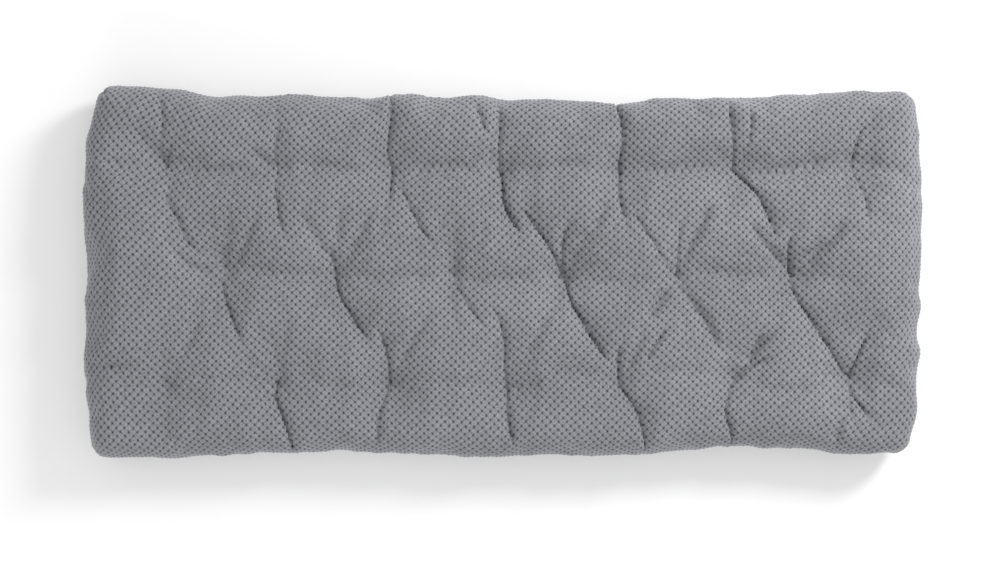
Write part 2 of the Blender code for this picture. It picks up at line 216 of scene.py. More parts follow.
# Shallow wrinkles, which end softly both ways, and then the creases along the rows of tufts
Wrinkle = namedtuple("Wrinkle", "name depth reach path")
WRINKLES = [
    Wrinkle("by A1", 0.0009, 0.012, ((-0.382, 0.218), (-0.391, 0.200), (-0.400, 0.185))),
    Wrinkle("by A2", 0.0005, 0.012, ((-0.300, 0.212), (-0.293, 0.185), (-0.285, 0.159))),
    Wrinkle("A2 ray", 0.0039, 0.012, ((-0.304, 0.151), (-0.290, 0.135), (-0.270, 0.121))),
    Wrinkle("right of A3", 0.0002, 0.012, ((-0.119, 0.203), (-0.112, 0.178), (-0.113, 0.149))),
    Wrinkle("by B1", 0.0057, 0.014,
            ((-0.404, 0.034), (-0.380, 0.012), (-0.362, 0.002), (-0.336, -0.005))),
    Wrinkle("A2 to B1", 0.0057, 0.012,
            ((-0.290, 0.078), (-0.302, 0.054), (-0.310, 0.034), (-0.319, 0.015), (-0.334, -0.002))),
    Wrinkle("B1 up", 0.0039, 0.018, ((-0.339, 0.039), (-0.337, 0.017), (-0.336, -0.005))),
    Wrinkle("A2 to B2", 0.0052, 0.013,
            ((-0.247, 0.078), (-0.232, 0.054), (-0.215, 0.028), (-0.202, 0.005))),
    Wrinkle("A3 to B2", 0.0052, 0.013,
            ((-0.147, 0.085), (-0.162, 0.063), (-0.176, 0.039), (-0.195, 0.007))),
    Wrinkle("B3 up", 0.0041, 0.017, ((-0.052, 0.027), (-0.060, 0.007), (-0.060, -0.015))),
    Wrinkle("A4 to B3", 0.0006, 0.013, ((-0.015, 0.063), (-0.034, 0.039), (-0.058, 0.005))),
    Wrinkle("by B4", 0.0029, 0.012, ((0.108, 0.056), (0.093, 0.032), (0.077, -0.002))),
    Wrinkle("A5 to B4", 0.0058, 0.012, ((0.130, 0.090), (0.120, 0.071), (0.108, 0.044))),
    Wrinkle("A6 to B5", 0.0083, 0.012,
            ((0.257, 0.093), (0.242, 0.063), (0.230, 0.040), (0.213, 0.002))),
    Wrinkle("left of B6", 0.0077, 0.013,
            ((0.293, 0.068), (0.312, 0.041), (0.329, 0.021), (0.348, -0.002))),
    Wrinkle("B6 ray", 0.0102, 0.014,
            ((0.415, 0.067), (0.396, 0.039), (0.378, 0.024), (0.352, 0.005))),
    Wrinkle("B5 down", 0.0073, 0.012,
            ((0.213, -0.010), (0.218, -0.024), (0.232, -0.041), (0.246, -0.061), (0.258, -0.083),
             (0.274, -0.110))),
    Wrinkle("B5 to C5", 0.0096, 0.012, ((0.203, -0.017), (0.188, -0.038), (0.175, -0.061))),
    Wrinkle("C5 rays", 0.0045, 0.010, ((0.176, -0.066), (0.164, -0.088), (0.147, -0.124))),
    Wrinkle("C6 middle ray", 0.0109, 0.010, ((0.318, -0.073), (0.304, -0.094), (0.291, -0.115))),
    Wrinkle("on to C2", 0.0025, 0.012, ((-0.310, -0.095), (-0.300, -0.115), (-0.273, -0.129))),
    Wrinkle("by C2", 0.0023, 0.013, ((-0.286, -0.065), (-0.276, -0.090), (-0.269, -0.127))),
    Wrinkle("C3 ray", 0.0057, 0.013,
            ((-0.079, -0.037), (-0.095, -0.063), (-0.112, -0.088), (-0.127, -0.115))),
    Wrinkle("C3 high ray", 0.0003, 0.010, ((-0.095, -0.056), (-0.090, -0.049), (-0.080, -0.034))),
    Wrinkle("B3 low", 0.0019, 0.012, ((-0.060, -0.015), (-0.058, -0.049), (-0.048, -0.076))),
    Wrinkle("C4 ray", 0.0051, 0.013, ((0.054, -0.044), (0.042, -0.076), (0.023, -0.107))),
    Wrinkle("C4 aside", 0.0053, 0.013, ((0.007, -0.144), (0.031, -0.139), (0.053, -0.127))),
    Wrinkle("C1 left", 0.0048, 0.012,
            ((-0.507, -0.109), (-0.483, -0.115), (-0.458, -0.115), (-0.434, -0.115))),
    Wrinkle("C1 up", 0.0008, 0.017, ((-0.402, -0.102), (-0.406, -0.122), (-0.407, -0.139))),
    Wrinkle("C7 to front", 0.0047, 0.012, ((0.411, -0.171), (0.404, -0.193), (0.401, -0.212))),
    Wrinkle("front tuck 1", 0.0013, 0.009, ((-0.165, -0.193), (-0.164, -0.207), (-0.164, -0.218))),
    Wrinkle("front tuck 4", 0.0004, 0.010, ((0.047, -0.181), (0.052, -0.200), (0.054, -0.215))),
    Wrinkle("rear tuck 2", 0.0018, 0.012, ((0.234, 0.210), (0.236, 0.183))),
]
ROW_CREASES = [
    Wrinkle("left of A1", 0.0028, 0.018, ((-0.490, 0.133), (-0.453, 0.129), (-0.409, 0.127))),
    Wrinkle("A1 to A2", 0.0034, 0.018,
            ((-0.409, 0.127), (-0.368, 0.123), (-0.319, 0.122), (-0.270, 0.122))),
    Wrinkle("A2 to A3", 0.0009, 0.018,
            ((-0.270, 0.123), (-0.242, 0.127), (-0.191, 0.123), (-0.134, 0.121))),
    Wrinkle("A3 to A4", 0.0044, 0.018,
            ((-0.134, 0.120), (-0.099, 0.122), (-0.057, 0.126), (-0.002, 0.118))),
    Wrinkle("A4 to A5", 0.0009, 0.018,
            ((-0.002, 0.118), (0.029, 0.121), (0.077, 0.126), (0.143, 0.120))),
    Wrinkle("A5 to A6", 0.0055, 0.018,
            ((0.143, 0.120), (0.181, 0.120), (0.242, 0.124), (0.280, 0.123))),
    Wrinkle("A6 to A7", 0.0047, 0.018,
            ((0.280, 0.124), (0.315, 0.118), (0.364, 0.126), (0.424, 0.132))),
    Wrinkle("A7 to side", 0.0033, 0.018,
            ((0.423, 0.129), (0.462, 0.126), (0.484, 0.120), (0.508, 0.115))),
    Wrinkle("B1 to B2", 0.0029, 0.018,
            ((-0.336, -0.004), (-0.301, 0.000), (-0.258, -0.004), (-0.202, -0.006))),
    Wrinkle("B2 to B3", 0.0012, 0.018,
            ((-0.201, -0.007), (-0.160, -0.009), (-0.112, -0.007), (-0.060, -0.010))),
    Wrinkle("B3 to B4", 0.0031, 0.018,
            ((-0.060, -0.011), (-0.026, -0.011), (0.023, -0.010), (0.075, -0.010))),
    Wrinkle("B4 to B5", 0.0018, 0.018,
            ((0.075, -0.009), (0.098, -0.010), (0.127, -0.015), (0.169, -0.011), (0.210, -0.007))),
    Wrinkle("B5 to B6", 0.0031, 0.018,
            ((0.212, -0.006), (0.245, -0.002), (0.291, -0.005), (0.350, -0.005))),
    Wrinkle("B6 to side", 0.0018, 0.018, ((0.350, -0.005), (0.382, -0.009), (0.419, -0.013))),
    Wrinkle("C1 to C2", 0.0010, 0.018,
            ((-0.407, -0.138), (-0.380, -0.132), (-0.331, -0.131), (-0.269, -0.129))),
    Wrinkle("C2 to C3", 0.0008, 0.018,
            ((-0.269, -0.127), (-0.236, -0.128), (-0.199, -0.140), (-0.135, -0.135))),
    Wrinkle("C3 to C4", 0.0007, 0.018,
            ((-0.135, -0.134), (-0.093, -0.133), (-0.045, -0.137), (0.007, -0.143))),
    Wrinkle("C4 to C5", 0.0007, 0.018,
            ((0.035, -0.138), (0.071, -0.123), (0.108, -0.123), (0.142, -0.134))),
    Wrinkle("C5 to C6", 0.0007, 0.018,
            ((0.142, -0.137), (0.171, -0.129), (0.203, -0.120), (0.242, -0.122), (0.280, -0.131))),
    Wrinkle("C6 to C7", 0.0010, 0.018,
            ((0.280, -0.131), (0.306, -0.139), (0.352, -0.144), (0.418, -0.134))),
    Wrinkle("C7 to side", 0.0008, 0.018,
            ((0.418, -0.133), (0.450, -0.135), (0.476, -0.140), (0.506, -0.148))),
]

# How creases are shaped: core rounds the bottom, bend steepens the banks towards it, where 1 is
# an even slope, and behind is how many times further a crease reaches to the rear than the front
Sides = namedtuple("Sides", "core bend behind")
WRINKLE_SIDES = Sides(0.0012, 1.5, 1.0)
ROW_SIDES = Sides(0.0055, 1.05, 1.9)
WRINKLE_FADE = 0.3          # share of its length over which each end of a crease dies away
BANK_ROUNDNESS = 1.5        # of a fold: 1 is a straight bank, and 2 a quarter round
PINCH_SHARE = 0.70          # share of a fold's depth that its sharp bottom adds
PINCH_REACH = 0.0034
SNAP_REACH = 0.008          # points of the grid this near to a crease may slide onto it

# Unevenness of the stuffing
LUMP_SEED = 4
LUMP_WAVES = 32
LUMP_LENGTHS = (0.018, 0.080)
LUMP_SLOPE = 0.10           # typical slope of the lumps
LUMP_FADE = 0.012           # lumps and creases die away over this distance from the seam

# The seam's path along each side, between corners that are still square
EdgePoint = namedtuple("EdgePoint", "at out")
REAR_EDGE = [
    EdgePoint(-0.513, 0.226), EdgePoint(-0.470, 0.227), EdgePoint(-0.410, 0.222),
    EdgePoint(-0.364, 0.215), EdgePoint(-0.270, 0.217), EdgePoint(-0.179, 0.212),
    EdgePoint(-0.136, 0.218), EdgePoint(-0.093, 0.213), EdgePoint(-0.044, 0.216),
    EdgePoint(-0.002, 0.211), EdgePoint(0.071, 0.210), EdgePoint(0.136, 0.205),
    EdgePoint(0.218, 0.212), EdgePoint(0.284, 0.213), EdgePoint(0.364, 0.217),
    EdgePoint(0.425, 0.220), EdgePoint(0.513, 0.218),
]
FRONT_EDGE = [
    EdgePoint(-0.513, 0.226), EdgePoint(-0.410, 0.227), EdgePoint(-0.319, 0.223),
    EdgePoint(-0.252, 0.220), EdgePoint(-0.197, 0.217), EdgePoint(-0.154, 0.221),
    EdgePoint(-0.075, 0.224), EdgePoint(-0.002, 0.227), EdgePoint(0.035, 0.223),
    EdgePoint(0.120, 0.225), EdgePoint(0.171, 0.223), EdgePoint(0.230, 0.218),
    EdgePoint(0.276, 0.213), EdgePoint(0.364, 0.216), EdgePoint(0.443, 0.222),
    EdgePoint(0.513, 0.221),
]
LEFT_EDGE = [
    EdgePoint(-0.227, 0.498), EdgePoint(-0.180, 0.502), EdgePoint(-0.144, 0.507),
    EdgePoint(-0.107, 0.511), EdgePoint(-0.081, 0.507), EdgePoint(-0.034, 0.510),
    EdgePoint(0.017, 0.507), EdgePoint(0.075, 0.513), EdgePoint(0.149, 0.506),
    EdgePoint(0.227, 0.490),
]
RIGHT_EDGE = [
    EdgePoint(-0.227, 0.495), EdgePoint(-0.168, 0.504), EdgePoint(-0.125, 0.505),
    EdgePoint(-0.098, 0.509), EdgePoint(-0.081, 0.506), EdgePoint(-0.034, 0.511),
    EdgePoint(0.039, 0.512), EdgePoint(0.082, 0.513), EdgePoint(0.131, 0.509),
    EdgePoint(0.227, 0.502),
]

# How the face settles
START_CROWN = 0.84          # share of the crown's height that the face starts from
SETTLE_FRAMES = 14
SETTLE_CAP = 0.014          # no point moves further than this
SEAM_CALM = 0.045           # towards the seam the cloth is cut less full over this distance
EASE_TIMES = 2
EASE_SHARE = 0.35
FOLD_GRIP = 0.75            # how firmly a deep fold is held while the cloth settles
ROW_GRIP = 0.35
GRIP_REACH = 0.006
LOOSE_DEPTH = 0.005         # shallower folds are left to the cloth
FIRM_DEPTH = 0.009          # deeper folds are held with the full grip
CLOTH = {
    "quality": 4,
    "mass": 0.001,
    "tension_stiffness": 12,
    "compression_stiffness": 8,
    "shear_stiffness": 4,
    "bending_stiffness": 3,
    "air_damping": 4,
    "vertex_group_mass": "held",
    "pin_stiffness": 1.0,
    "vertex_group_shrink": "calm",
    "shrink_min": -0.016,   # the cloth is cut this much fuller than the shape it starts from
    "shrink_max": 0.0,
    "use_pressure": True,
    "uniform_pressure_force": 40.0,
}

# Colour of the plush, the half widths of its marks, and its noises
GREY = (0.226, 0.228, 0.249, 1.0)
PIT_WIDE = 0.00104
PIT_TALL = 0.00150
GROOVE_WIDTH = 0.0007
WANDER = 0.0022             # how far the marks wander from an even grid, from end to end
Grain = namedtuple("Grain", "scale detail roughness")
WANDER_GRAIN = Grain(90.0, 1.0, 0.5)
NAP_GRAIN = Grain(11.0, 3.0, 0.5)         # patches where the pile has been brushed
CLUMP_GRAIN = Grain(140.0, 1.0, 0.5)      # pads that stand lighter or darker
FUZZ_GRAIN = Grain(480.0, 4.0, 0.65)      # single fibres
FUZZ_HEIGHT = 0.0006

# How light the plush is, and how much each mark and noise changes that
TONE = 1.155
# Painted highlight round the shoulder of each pad, and the shape of the ring it lies in
PAD_HIGHLIGHT = 0.20
PAD_HIGHLIGHT_LEVEL = 0.30
PAD_HIGHLIGHT_SHARPNESS = 4.5
NAP_TONE = 0.50
CLUMP_TONE = 0.50
FUZZ_TONE = 2.0
# Painted shade in the pits of the plush
PIT_SHADE = 0.62
PIT_SHADE_CLUMP = 0.56       # pits differ this much in painted shade from clump to clump
PIT_SHADE_MOST = 0.95
# Painted shade along the grooves between the pads
GROOVE_SHADE = 0.20

# The surface of the plush
PLUSH_ROUGHNESS = 0.92
PLUSH_SHEEN = 0.45
PLUSH_SHINE = 0.2
FUZZ_BUMP = 0.9
GROOVE_BUMP = 0.35
BUMP_STRENGTH = 0.6

# Studio
VIEW_DISTANCE = 3.0
VIEW_WIDTH = 1.22
VIEW_CENTRE = (-0.002, -0.012)
VIEW_END = 100.0            # nothing further off than this is drawn
Light = namedtuple("Light", "name place size power")
LIGHTS = [
    Light("key", (1.75, 1.35, 1.5), 0.75, 41),
    Light("fill", (-0.6, -2.6, 1.1), 1.6, 15),
]
ROOM_LIGHT = 0.69
FLOOR_REACH = 20.0
FLOOR_DROP = 0.0005         # keeps the floor clear of the back panel
FLOOR_GLOW = 0.12           # softens the shadows on the paper
WHITE = (1.0, 1.0, 1.0, 1.0)
PAPER_WHITE = (0.93, 0.93, 0.93, 1.0)
PAPER_ROUGHNESS = 0.95


# ---- Shape -------------------------------------------------------------------------------

def edge_out(rows, at):
    """Distance of the outline from the cushion's middle at places along one side."""
    stops = np.array([row.at for row in rows])
    outs = np.array([row.out for row in rows])
    at = np.clip(at, stops[0], stops[-1])
    low = np.clip(np.searchsorted(stops, at, side="right") - 1, 0, len(stops) - 2)
    share = (at - stops[low]) / (stops[low + 1] - stops[low])
    return outs[low] + (outs[low + 1] - outs[low]) * share * share * (3 - 2 * share)


def rim_curve(rim):
    """Cloth length, distance in from the outline and share of height along a rolled rim."""
    turn = np.linspace(0, math.pi / 2, RIM_STEPS)
    inset = rim.depth * (1 - np.cos(turn) ** (2 / rim.power))
    share = np.sin(turn) ** (2 / rim.power)
    steps = np.hypot(np.diff(inset), np.diff(share) * rim.height)
    return np.concatenate([[0], np.cumsum(steps)]), inset, share


def laid_over(run, cut, size, rim):
    """Place in plan, and share of height, of cloth lengths measured from one seam to the other."""
    lengths, insets, shares = rim_curve(rim)
    from_edge = np.minimum(run, cut - run)
    spread = (size / 2 - rim.depth) / (cut / 2 - lengths[-1])
    inset = np.interp(from_edge, lengths, insets)
    inset = inset + np.maximum(from_edge - lengths[-1], 0) * spread
    inset = inset + SEAM_TUCK * np.exp(-from_edge / SEAM_TUCK_REACH)
    place = np.where(run < cut / 2, inset, size - inset) - size / 2
    return place, np.interp(from_edge, lengths, shares)


def bend_to_outline(x, y):
    """Bends a straight rectangle with square corners to the uneven outline with turned corners."""
    over_x = np.abs(x) - (LENGTH / 2 - CORNER_RADIUS)
    over_y = np.abs(y) - (WIDTH / 2 - CORNER_RADIUS)
    corner = (over_x > 0) & (over_y > 0)
    pull_in = np.maximum(over_x, over_y) / np.maximum(np.hypot(over_x, over_y), TINY)
    x = np.where(corner, np.copysign(LENGTH / 2 - CORNER_RADIUS + over_x * pull_in, x), x)
    y = np.where(corner, np.copysign(WIDTH / 2 - CORNER_RADIUS + over_y * pull_in, y), y)
    left, right = edge_out(LEFT_EDGE, y), edge_out(RIGHT_EDGE, y)
    front, rear = edge_out(FRONT_EDGE, x), edge_out(REAR_EDGE, x)
    return (x / LENGTH + 0.5) * (left + right) - left, (y / WIDTH + 0.5) * (front + rear) - front


def smooth_path(path):
    """A path's points with an even curve through them."""
    points = np.array(path, float)
    ends = np.vstack([2 * points[0] - points[1], points, 2 * points[-1] - points[-2]])
    curve = []
    for before, start, end, after in zip(ends, ends[1:], ends[2:], ends[3:]):
        for t in np.arange(PATH_STEPS) / PATH_STEPS:
            curve.append(0.5 * (2 * start + (end - before) * t
                                + (2 * before - 5 * start + 4 * end - after) * t * t
                                + (3 * start - before - 3 * end + after) * t ** 3))
    return np.array(curve + [points[-1]])


def beside(points, line):
    """Distance to a line, on which side of it, and share of its length passed, for each point."""
    lengths = np.linalg.norm(np.diff(line, axis=0), axis=1)
    passed = np.concatenate([[0], np.cumsum(lengths)]) / lengths.sum()
    nearest = np.full(len(points), np.inf)
    side, share = np.zeros(len(points)), np.zeros(len(points))
    for index, (start, end) in enumerate(zip(line, line[1:])):
        run = end - start
        t = np.clip((points - start) @ run / (run @ run), 0, 1)
        off = points - start - t[:, None] * run
        away = np.linalg.norm(off, axis=1)
        closer = away < nearest
        nearest = np.where(closer, away, nearest)
        side = np.where(closer, run[0] * off[:, 1] - run[1] * off[:, 0], side)
        share = np.where(closer, passed[index] + t * (passed[index + 1] - passed[index]), share)
    return nearest, side, share


def ease(share):
    share = np.clip(share, 0, 1)
    return share * share * (3 - 2 * share)


def bank(away, reach):
    """1 at a fold's bottom, down to 0 where its rounded bank ends."""
    left = np.clip(1 - away / reach, 0, 1)
    return 1 - (1 - left ** BANK_ROUNDNESS) ** (1 / BANK_ROUNDNESS)


def rounded(away, core):
    """A distance whose sharp start at 0 is rounded off."""
    return np.hypot(away, core) - core


def around(points, line, reach):
    """Which points in plan lie in the box that reaches this far round a line."""
    return np.all((points > line.min(0) - reach) & (points < line.max(0) + reach), axis=1)


def fold_hollow(points, fold, depth, right, left):
    """Depth of a fold at points in plan."""
    line = smooth_path(fold.path)
    hollow = np.zeros(len(points))
    near = around(points, line, max(right, left))
    if not near.any():
        return hollow
    away, side, share = beside(points[near], line)
    strength = np.ones(len(share))
    if fold.start:
        strength = strength * ease(share / fold.start)
    if fold.end:
        strength = strength * ease((1 - share) / fold.end)
    hollow[near] = depth * strength * bank(away, np.where(side > 0, right, left))
    return hollow


def crease_hollow(points, crease, sides):
    """Depth of a wrinkle, or of the crease along a row, at points in plan."""
    line = smooth_path(crease.path)
    hollow = np.zeros(len(points))
    wide = crease.reach * sides.behind
    near = around(points, line, wide)
    if not near.any():
        return hollow
    away, side, share = beside(points[near], line)
    strength = ease(share / WRINKLE_FADE) * ease((1 - share) / WRINKLE_FADE)
    reach = np.where(side > 0, wide, crease.reach)
    left = np.clip(1 - rounded(away, sides.core) / (reach - sides.core), 0, 1)
    hollow[near] = crease.depth * strength * left ** sides.bend
    return hollow


def drawn_down(points):
    """How far tufts, rows and folds draw the face down at points in plan."""
    total = np.zeros(len(points))
    for tuft in TUFTS:
        away = rounded(np.linalg.norm(points - (tuft.x, tuft.y), axis=1), TUFT_CORE)
        total += (tuft.pull * np.exp(-away / TUFT_REACH)) ** BLEND
    for first, second in zip(TUFTS, TUFTS[1:]):
        row = first.name[0]
        if row == second.name[0]:
            away, _, _ = beside(points, np.array([(first.x, first.y), (second.x, second.y)]))
            total += (ROW_VALLEY[row] * np.exp(-(away / ROW_VALLEY_REACH) ** 2)) ** BLEND
    for fold in FOLDS:
        total += fold_hollow(points, fold, fold.depth, fold.right, fold.left) ** BLEND
    return total ** (1 / BLEND)


def cloth_grid(step):
    """Cloth lengths along and across a panel at every crossing of a grid, as two arrays."""
    long = np.arange(0, CUT_LONG + step / 2, step)
    wide = np.arange(0, CUT_WIDE + step / 2, step)
    return np.meshgrid(long, wide, indexing="ij")


def set_border(grid, value):
    grid[0, :] = grid[-1, :] = grid[:, 0] = grid[:, -1] = value


def face_shape(along, across):
    """The face panel's points before it settles."""
    x, share_x = laid_over(along, CUT_LONG, LENGTH, FACE_RIM)
    y, share_y = laid_over(across, CUT_WIDE, WIDTH, FACE_RIM)
    x, y = bend_to_outline(x, y)
    plan = np.stack([x.ravel(), y.ravel()], axis=1)
    down = drawn_down(plan).reshape(x.shape)
    z = SEAM_HEIGHT + (FACE_RIM.height * START_CROWN - down) * share_x * share_y
    return np.stack([x, y, z], axis=-1)


def grips(points):
    """How firmly each point of the face is held while it settles, from 0 to 1."""
    plan = points[..., :2].reshape(-1, 2)
    held = np.zeros(len(plan))
    for fold in FOLDS:
        line = fold_hollow(plan, fold, 1.0, GRIP_REACH, GRIP_REACH)
        firm = FOLD_GRIP * ease((fold.depth - LOOSE_DEPTH) / (FIRM_DEPTH - LOOSE_DEPTH))
        held = np.maximum(held, firm * ease(3 * line))
    for crease in ROW_CREASES:
        away, _, _ = beside(plan, smooth_path(crease.path))
        held = np.maximum(held, ROW_GRIP * ease(2 - 2 * away / GRIP_REACH))
    for tuft in TUFTS:
        away = np.linalg.norm(plan - (tuft.x, tuft.y), axis=1)
        held[away < TUFT_HOLD] = 1.0
    held = held.reshape(points.shape[:2])
    set_border(held, 1.0)
    return held


def grid_faces(rows, columns, flip=False):
    """Corners of every cell of a grid, counter-clockwise from above."""
    index = np.arange(rows * columns).reshape(rows, columns)
    cells = [index[:-1, :-1], index[1:, :-1], index[1:, 1:], index[:-1, 1:]]
    corners = np.stack([cell.ravel() for cell in cells], axis=1)
    return corners[:, ::-1] if flip else corners


def mesh_of(name, points, faces):
    """A mesh from arrays of points and four-cornered faces."""
    mesh = bpy.data.meshes.new(name)
    mesh.vertices.add(len(points))
    mesh.vertices.foreach_set("co", np.ascontiguousarray(points, np.float32).ravel())
    mesh.loops.add(faces.size)
    mesh.loops.foreach_set("vertex_index", np.ascontiguousarray(faces, np.int32).ravel())
    mesh.polygons.add(len(faces))
    mesh.polygons.foreach_set("loop_start", np.arange(0, faces.size, 4, dtype=np.int32))
    mesh.update(calc_edges=True)
    mesh.validate()
    return mesh


def link(name, data):
    """An object in the scene for a mesh, a lamp or a camera."""
    piece = bpy.data.objects.new(name, data)
    bpy.context.scene.collection.objects.link(piece)
    return piece


def add_group(piece, name, weights):
    """A vertex group with one weight for each point."""
    group = piece.vertex_groups.new(name=name)
    weights = np.round(weights.ravel(), 2)
    for weight in np.unique(weights[weights > 0]):
        members = np.flatnonzero(weights == weight)
        group.add([int(index) for index in members], float(weight), "REPLACE")


def add_cloth(piece):
    """Gives a piece the cloth simulation that settles it under the stuffing's pressure."""
    modifier = piece.modifiers.new("settle", "CLOTH")
    for name, value in CLOTH.items():
        setattr(modifier.settings, name, value)
    modifier.settings.effector_weights.gravity = 0
    modifier.collision_settings.use_collision = False
    modifier.collision_settings.use_self_collision = False
    modifier.point_cache.frame_start = 1
    modifier.point_cache.frame_end = SETTLE_FRAMES


def stepped(piece):
    """A piece's points after its simulation has run."""
    scene = bpy.context.scene
    for step in range(1, SETTLE_FRAMES + 1):
        scene.frame_set(step)
    moved = np.empty(len(piece.data.vertices) * 3, np.float32)
    evaluated = piece.evaluated_get(bpy.context.evaluated_depsgraph_get())
    evaluated.to_mesh().vertices.foreach_get("co", moved)
    evaluated.to_mesh_clear()
    scene.frame_set(1)
    return moved.astype(float)


def settled(points, held, calm):
    """The face's points after the stuffing's pressure has settled the cloth."""
    mesh = mesh_of("settling", points.reshape(-1, 3), grid_faces(*points.shape[:2]))
    piece = link("settling", mesh)
    add_group(piece, "held", held)
    add_group(piece, "calm", calm)
    add_cloth(piece)
    shift = stepped(piece).reshape(points.shape) - points
    bpy.data.objects.remove(piece, do_unlink=True)
    bpy.data.meshes.remove(mesh)
    size = np.linalg.norm(shift, axis=-1, keepdims=True)
    return points + shift * np.minimum(1, SETTLE_CAP / np.maximum(size, TINY))


def eased(points):
    """Smooths a panel's grid and leaves its border where it is."""
    points = points.copy()
    for _ in range(EASE_TIMES):
        middle = (points[:-2, 1:-1] + points[2:, 1:-1] + points[1:-1, :-2] + points[1:-1, 2:]) / 4
        points[1:-1, 1:-1] += EASE_SHARE * (middle - points[1:-1, 1:-1])
    return points


def halved(points):
    """Puts a point halfway between neighbours along the first direction, on an even curve."""
    before = np.concatenate([2 * points[:1] - points[1:2], points[:-1]])
    after = np.concatenate([points[1:], 2 * points[-1:] - points[-2:-1]])
    inner = (9 * (points[:-1] + points[1:]) - before[:-1] - after[1:]) / 16
    out = np.empty((2 * len(points) - 1,) + points.shape[1:])
    out[0::2], out[1::2] = points, inner
    return out


def refined(points):
    """The same panel on a grid of half the step."""
    return np.swapaxes(halved(np.swapaxes(halved(points), 0, 1)), 0, 1)


def normals(points):
    """Unit directions out of a panel's grid, up where the panel lies flat."""
    along = np.gradient(points, axis=0)
    across = np.gradient(points, axis=1)
    out = np.cross(along, across)
    return out / np.maximum(np.linalg.norm(out, axis=-1, keepdims=True), TINY)


def relief(along, across):
    """Height of the plush above its ground: raised pads between pits."""
    wave = np.cos(2 * math.pi * along / PITCH) * np.cos(2 * math.pi * across / PITCH)
    return np.where(wave > 0, -PIT_DROP * wave, -PAD_RISE * wave)


def add_map(mesh, name, along, across):
    """A map of cloth coordinates for a panel's mesh."""
    layer = mesh.uv_layers.new(name=name)
    corners = np.empty(len(mesh.loops), np.int32)
    mesh.loops.foreach_get("vertex_index", corners)
    places = np.stack([along.ravel()[corners], across.ravel()[corners]], axis=1)
    layer.data.foreach_set("uv", places.astype(np.float32).ravel())


def along_creases(faces, depth):
    """Turns each cell so that it splits along its deeper diagonal."""
    deep = depth.ravel()[faces]
    other = deep[:, 1] + deep[:, 3] > deep[:, 0] + deep[:, 2]
    return np.where(other[:, None], np.roll(faces, 1, axis=1), faces)


def make_panel(name, points, along, across, flip, depth=None):
    """A panel's object, with its cloth coordinates in metres and a map for baking."""
    faces = grid_faces(*points.shape[:2], flip)
    if depth is not None:
        faces = along_creases(faces, depth)
    mesh = mesh_of(name, points.reshape(-1, 3), faces)
    mesh.shade_smooth()
    add_map(mesh, "OFBake", along / along.max(), across / across.max())
    add_map(mesh, "cloth", along, across)
    return link(name, mesh)


def signed_distance(points, line):
    """Distance to a line from points in plan: less than 0 on its left, endless past its ends."""
    near = around(points, line, SNAP_REACH)
    away, side, share = beside(points[near], line)
    within = (share > 0) & (share < 1)
    distance = np.full(len(points), np.inf)
    distance[np.flatnonzero(near)[within]] = np.where(side > 0, away, -away)[within]
    return distance


def snapped(points, along, across):
    """Slides points of a panel's grid along the cloth, so that the bottoms of folds pass through them."""
    panel = np.concatenate([points, along[..., None], across[..., None]], axis=-1)
    for crease in FOLDS + WRINKLES:
        line = smooth_path(crease.path)
        run_x, run_y = np.abs(line[-1] - line[0])
        grid = np.swapaxes(panel, 0, 1) if run_x > run_y else panel
        away = signed_distance(grid[..., :2].reshape(-1, 2), line).reshape(grid.shape[:2])
        low, high = away[:-1], away[1:]
        with np.errstate(invalid="ignore"):
            crossed = np.isfinite(low) & np.isfinite(high) & (low * high < 0)
            crossed &= np.abs(low) + np.abs(high) < SNAP_REACH
        rows, columns = np.nonzero(crossed)
        passed = away[rows, columns] / (away[rows, columns] - away[rows + 1, columns])
        step = grid[rows + 1, columns] - grid[rows, columns]
        grid[rows + (passed > 0.5), columns] = grid[rows, columns] + passed[:, None] * step
    return panel[..., :3], panel[..., 3], panel[..., 4]


def lumps(along, across):
    """Slight unevenness of the stuffing under the cloth."""
    chance = np.random.default_rng(LUMP_SEED)
    height = np.zeros(along.shape)
    for length in np.geomspace(*LUMP_LENGTHS, LUMP_WAVES):
        heading, start = chance.uniform(0, 2 * math.pi, 2)
        run = along * math.cos(heading) + across * math.sin(heading)
        height += length * np.sin(2 * math.pi * run / length + start)
    return height * LUMP_SLOPE / (2 * math.pi * math.sqrt(LUMP_WAVES / 2))


def pinch_depth(points):
    """How far the cloth is drawn in along the bottoms of folds, and by wrinkles and rows."""
    plan = points[..., :2].reshape(-1, 2)
    deepest, added = np.zeros(len(plan)), np.zeros(len(plan))
    for fold in FOLDS:
        depth = fold.depth * PINCH_SHARE
        deepest = np.maximum(deepest, fold_hollow(plan, fold, depth, PINCH_REACH, PINCH_REACH))
    for creases, sides in ((WRINKLES, WRINKLE_SIDES), (ROW_CREASES, ROW_SIDES)):
        for crease in creases:
            added += crease_hollow(plan, crease, sides) ** 2
    return (deepest + np.sqrt(added)).reshape(points.shape[:2])


def from_rim(along, across):
    """Cloth length from the nearest seam."""
    return np.minimum(np.minimum(along, CUT_LONG - along), np.minimum(across, CUT_WIDE - across))


def seam_pull(length):
    return SEAM_PULL * np.exp(-(length / SEAM_PULL_REACH) ** 2)


def drawn_in(points, along, across):
    """A panel's points with the cloth beside the seam pulled in by the sewing, alike on both panels."""
    points = points.copy()
    points[..., 0] += seam_pull(along) - seam_pull(CUT_LONG - along)
    points[..., 1] += seam_pull(across) - seam_pull(CUT_WIDE - across)
    return points


def piled(points, height, up):
    """A panel's points with the plush's pads and pits on them, up or down, except at the seam."""
    set_border(height, 0)
    return points + up * normals(points) * height[..., None]


